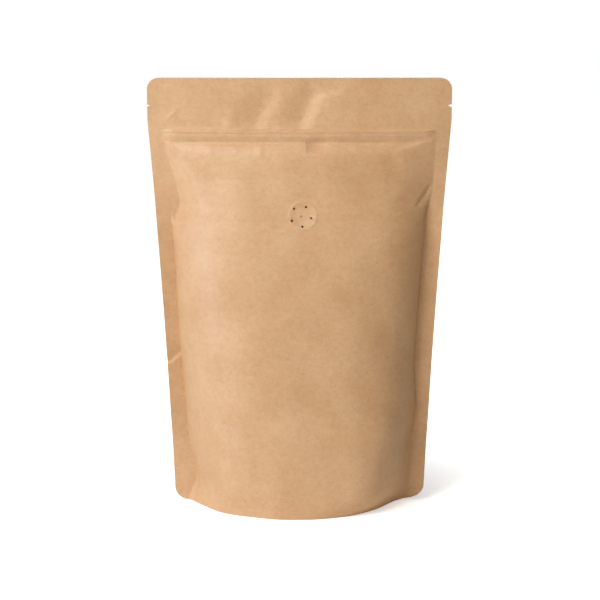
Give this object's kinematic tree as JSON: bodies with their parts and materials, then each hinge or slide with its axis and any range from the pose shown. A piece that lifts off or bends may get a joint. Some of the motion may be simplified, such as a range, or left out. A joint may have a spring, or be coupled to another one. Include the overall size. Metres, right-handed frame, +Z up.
{
  "type": "kraft stand-up pouch",
  "caption": "Filled and shut kraft stand-up pouch with side seals, a press-to-close zip, tear notches, a degassing valve and a gusset that opens underneath so that it stands.",
  "frame": {"origin": "on the floor, at the middle of the pouch's base", "axes": "+Z up, front with the valve towards -Y, +X to the right as the front is seen"},
  "size_m": [0.2308, 0.103, 0.331],
  "materials": {
    "kraft": "matt unbleached kraft paper film with a faint satin sheen and a mottled fibre grain"
  },
  "bodies": {
    "root": {"pouch": "kraft"}
  },
  "joints": []
}
